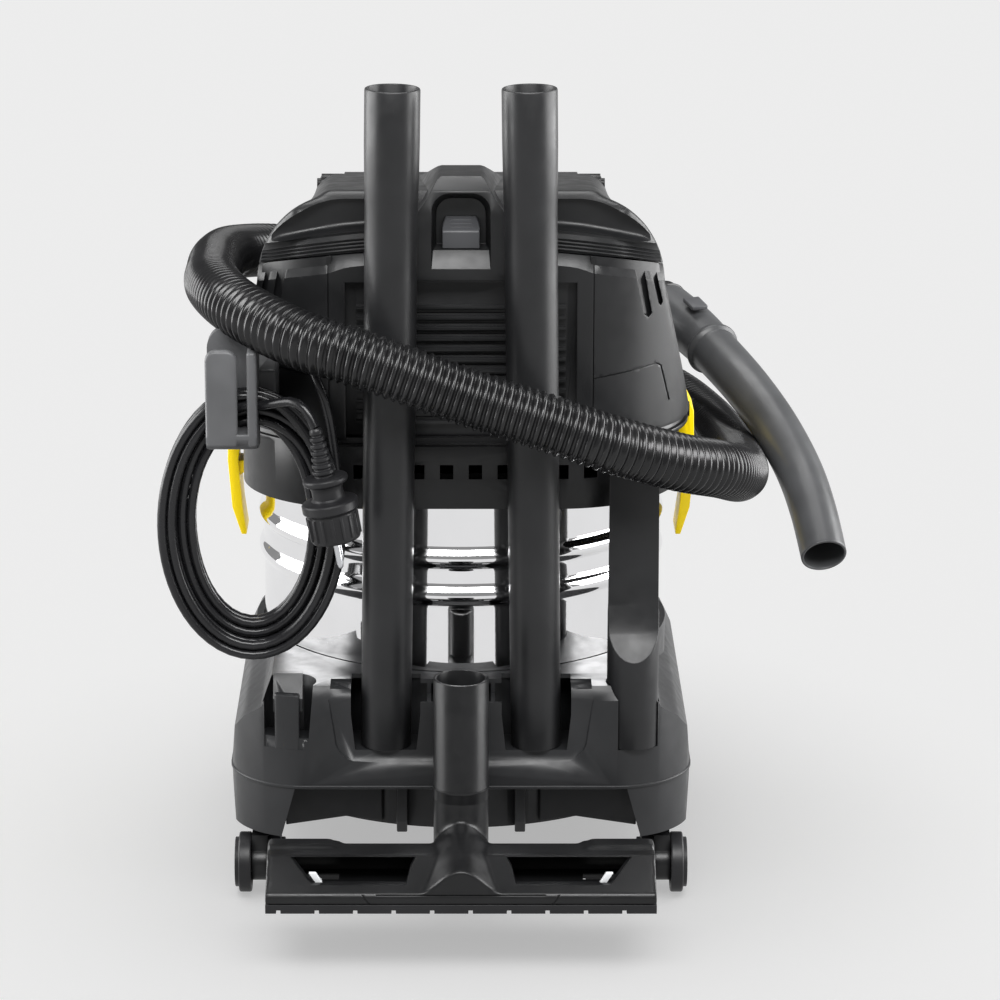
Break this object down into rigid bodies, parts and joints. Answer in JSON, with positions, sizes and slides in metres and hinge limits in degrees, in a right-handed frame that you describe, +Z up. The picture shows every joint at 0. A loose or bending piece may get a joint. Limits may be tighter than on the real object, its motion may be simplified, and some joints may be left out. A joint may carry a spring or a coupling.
{
  "type": "shop vacuum",
  "caption": "Wet and dry shop vacuum on castors with a steel container, a latched motor head, a wound hose, a hanging cable and parked tubes, crevice tool and floor nozzle.",
  "frame": {"origin": "on the floor, under the middle of everything but the hose and the cable", "axes": "+Z up; -Y is the rear, where the tubes and nozzle are parked; +X is to the right of someone who looks at the rear"},
  "size_m": [0.5223, 0.6616, 0.6215],
  "materials": {
    "dark_shell": "satin anthracite moulded plastic with a fine grain",
    "black_trim": "near-black moulded plastic",
    "tube_plastic": "smooth satin anthracite tube",
    "steel": "mirror-polished stainless sheet",
    "latch_yellow": "bright yellow plastic",
    "grey_button": "mid-grey plastic",
    "wheel_plastic": "hard black wheel plastic",
    "hose_black": "glossy black ribbed hose",
    "cable_rubber": "black cable jacket",
    "seal_rubber": "soft black rubber",
    "filter_paper": "pleated filter paper",
    "float_white": "white plastic",
    "copper": "enamelled copper winding",
    "fan_metal": "pressed aluminium",
    "board": "green circuit board",
    "fastener": "zinc-plated steel",
    "plug_metal": "nickel-plated pins",
    "clip_grey": "light grey clips"
  },
  "bodies": {
    "chassis": {"base_shell": "dark_shell", "container": "steel", "base_screws": "fastener"},
    "head": {"head_housing": "dark_shell", "side_panel_left": "dark_shell", "side_panel_right": "dark_shell", "rear_grille": "black_trim", "top_cover": "dark_shell", "front_panel": "black_trim", "head_seal": "seal_rubber", "head_screws": "fastener", "handle_pins": "fastener", "latch_pins": "fastener", "cable_hook": "black_trim", "appliance_socket": "black_trim", "motor_stator": "copper", "motor_shell": "dark_shell", "fan_housing": "fan_metal", "motor_mounts": "seal_rubber", "float_cage": "black_trim", "circuit_board": "board", "inlet_socket": "black_trim", "hose_cuff": "black_trim", "hose_tube": "hose_black", "hose_handle": "dark_shell", "cable_gland": "cable_rubber", "cable_lead": "cable_rubber", "cable_hank": "cable_rubber", "cable_tail": "cable_rubber", "plug_body": "cable_rubber", "plug_pins": "plug_metal"},
    "cassette": {"filter_cassette": "dark_shell", "pleated_filter": "filter_paper", "filter_seal": "seal_rubber"},
    "cassette_button": {"cassette_button": "grey_button"},
    "carry_handle": {"carry_handle": "black_trim"},
    "latch_left": {"latch_left": "latch_yellow"},
    "latch_right": {"latch_right": "latch_yellow"},
    "rotary_switch": {"rotary_switch": "latch_yellow"},
    "filter_clean_button": {"filter_clean_button": "grey_button"},
    "socket_flap": {"socket_flap": "black_trim"},
    "motor_rotor": {"motor_rotor": "copper"},
    "float_cup": {"float_cup": "float_white"},
    "airflow_slider": {"airflow_slider": "grey_button"},
    "suction_tube_left": {"suction_tube_left": "tube_plastic"},
    "suction_tube_right": {"suction_tube_right": "tube_plastic"},
    "crevice_tool": {"crevice_tool": "tube_plastic"},
    "floor_nozzle": {"nozzle_body": "black_trim", "nozzle_strips": "seal_rubber", "nozzle_clips": "clip_grey"},
    "castor_rear_left": {"castor_fork_rear_left": "black_trim"},
    "wheels_rear_left": {"castor_wheels_rear_left": "wheel_plastic"},
    "castor_rear_right": {"castor_fork_rear_right": "black_trim"},
    "wheels_rear_right": {"castor_wheels_rear_right": "wheel_plastic"},
    "castor_front_left": {"castor_fork_front_left": "black_trim"},
    "wheels_front_left": {"castor_wheels_front_left": "wheel_plastic"},
    "castor_front_right": {"castor_fork_front_right": "black_trim"},
    "wheels_front_right": {"castor_wheels_front_right": "wheel_plastic"}
  },
  "joints": [
    {"name": "castor_swivel_rear_left", "type": "hinge", "parent": "chassis", "child": "castor_rear_left", "pos_m": [-0.153, -0.0885, 0.05], "axis": [0, 0, 1], "continuous": true},
    {"name": "wheel_roll_rear_left", "type": "hinge", "parent": "castor_rear_left", "child": "wheels_rear_left", "pos_m": [-0.153, -0.1065, 0.023], "axis": [1, 0, 0], "continuous": true},
    {"name": "castor_swivel_rear_right", "type": "hinge", "parent": "chassis", "child": "castor_rear_right", "pos_m": [0.153, -0.0885, 0.05], "axis": [0, 0, 1], "continuous": true},
    {"name": "wheel_roll_rear_right", "type": "hinge", "parent": "castor_rear_right", "child": "wheels_rear_right", "pos_m": [0.153, -0.1065, 0.023], "axis": [1, 0, 0], "continuous": true},
    {"name": "castor_swivel_front_left", "type": "hinge", "parent": "chassis", "child": "castor_front_left", "pos_m": [-0.132, 0.1895, 0.05], "axis": [0, 0, 1], "continuous": true},
    {"name": "wheel_roll_front_left", "type": "hinge", "parent": "castor_front_left", "child": "wheels_front_left", "pos_m": [-0.132, 0.1715, 0.023], "axis": [1, 0, 0], "continuous": true},
    {"name": "castor_swivel_front_right", "type": "hinge", "parent": "chassis", "child": "castor_front_right", "pos_m": [0.132, 0.1895, 0.05], "axis": [0, 0, 1], "continuous": true},
    {"name": "wheel_roll_front_right", "type": "hinge", "parent": "castor_front_right", "child": "wheels_front_right", "pos_m": [0.132, 0.1715, 0.023], "axis": [1, 0, 0], "continuous": true},
    {"name": "head_lift", "type": "slide", "parent": "chassis", "child": "head", "axis": [0, 0, 1], "range_m": [0, 0.2]},
    {"name": "cassette_lift", "type": "slide", "parent": "head", "child": "cassette", "axis": [0, 0, 1], "range_m": [0, 0.125]},
    {"name": "cassette_button_press", "type": "slide", "parent": "cassette", "child": "cassette_button", "axis": [0, 1, 0], "range_m": [0, 0.004], "stiffness_N_per_m": 400},
    {"name": "carry_handle_fold", "type": "hinge", "parent": "head", "child": "carry_handle", "pos_m": [0, 0.0815, 0.512], "axis": [1, 0, 0], "range_deg": [0, 95]},
    {"name": "latch_left_swing", "type": "hinge", "parent": "head", "child": "latch_left", "pos_m": [-0.1735, 0.0615, 0.343], "axis": [0, 1, 0], "range_deg": [0, 12]},
    {"name": "latch_right_swing", "type": "hinge", "parent": "head", "child": "latch_right", "pos_m": [0.1735, 0.0615, 0.343], "axis": [0, -1, 0], "range_deg": [0, 12]},
    {"name": "rotary_switch_turn", "type": "hinge", "parent": "head", "child": "rotary_switch", "pos_m": [0, 0.2235, 0.412], "axis": [0, 1, 0], "range_deg": [0, 150]},
    {"name": "filter_clean_press", "type": "slide", "parent": "head", "child": "filter_clean_button", "axis": [0, -1, 0], "range_m": [0, 0.004], "stiffness_N_per_m": 400},
    {"name": "socket_flap_open", "type": "hinge", "parent": "head", "child": "socket_flap", "pos_m": [0.052, 0.2265, 0.438], "axis": [1, 0, 0], "range_deg": [0, 110]},
    {"name": "motor_spin", "type": "hinge", "parent": "head", "child": "motor_rotor", "pos_m": [0, 0.1065, 0.39], "axis": [0, 0, 1], "continuous": true},
    {"name": "float_rise", "type": "slide", "parent": "head", "child": "float_cup", "axis": [0, 0, 1], "range_m": [0, 0.022]},
    {"name": "airflow_slide", "type": "slide", "parent": "head", "child": "airflow_slider", "axis": [0.3811, -0.8972, -0.2233], "range_m": [0, 0.008]},
    {"name": "suction_tube_left_pull", "type": "slide", "parent": "chassis", "child": "suction_tube_left", "axis": [0.014, 0, 0.9999], "range_m": [0, 0.15]},
    {"name": "suction_tube_right_pull", "type": "slide", "parent": "chassis", "child": "suction_tube_right", "axis": [-0.014, 0, 0.9999], "range_m": [0, 0.15]},
    {"name": "crevice_tool_pull", "type": "slide", "parent": "chassis", "child": "crevice_tool", "axis": [0, 0, 1], "range_m": [0, 0.06]},
    {"name": "floor_nozzle_pull", "type": "slide", "parent": "chassis", "child": "floor_nozzle", "axis": [0, 0, 1], "range_m": [0, 0.06]}
  ]
}
